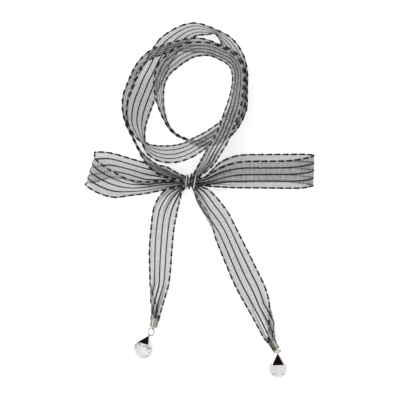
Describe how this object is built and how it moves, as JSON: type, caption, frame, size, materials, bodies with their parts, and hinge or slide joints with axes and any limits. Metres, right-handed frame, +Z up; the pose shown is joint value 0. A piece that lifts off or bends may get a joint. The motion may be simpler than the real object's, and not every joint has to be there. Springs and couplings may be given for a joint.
{
  "type": "skinny scarf",
  "caption": "Sheer striped ribbon wound into a neck ring and tied in a bow, with a clamped, capped crystal drop hung from each tail.",
  "frame": {"origin": "middle of the bounding box in plan, on the table that the scarf lies on", "axes": "+X to the right bow loop, +Y towards the top of the neck ring, +Z up off the table"},
  "size_m": [0.2292, 0.354, 0.042],
  "materials": {
    "organza": "sheer woven ribbon, pale grey with dark stripes and dashed edges",
    "pale_brass": "pale polished",
    "dark_cap": "dark polished facets",
    "clear_glass": "clear cut"
  },
  "bodies": {
    "root": {"neck_coil": "organza", "bow_loop_left": "organza", "bow_loop_right": "organza", "tail_left": "organza", "tail_right": "organza", "knot": "organza", "clamp_left": "pale_brass", "clamp_right": "pale_brass", "jump_ring_left": "pale_brass", "jump_ring_right": "pale_brass", "drop_cap_left": "dark_cap", "drop_cap_right": "dark_cap", "crystal_left": "clear_glass", "crystal_right": "clear_glass"}
  },
  "joints": []
}
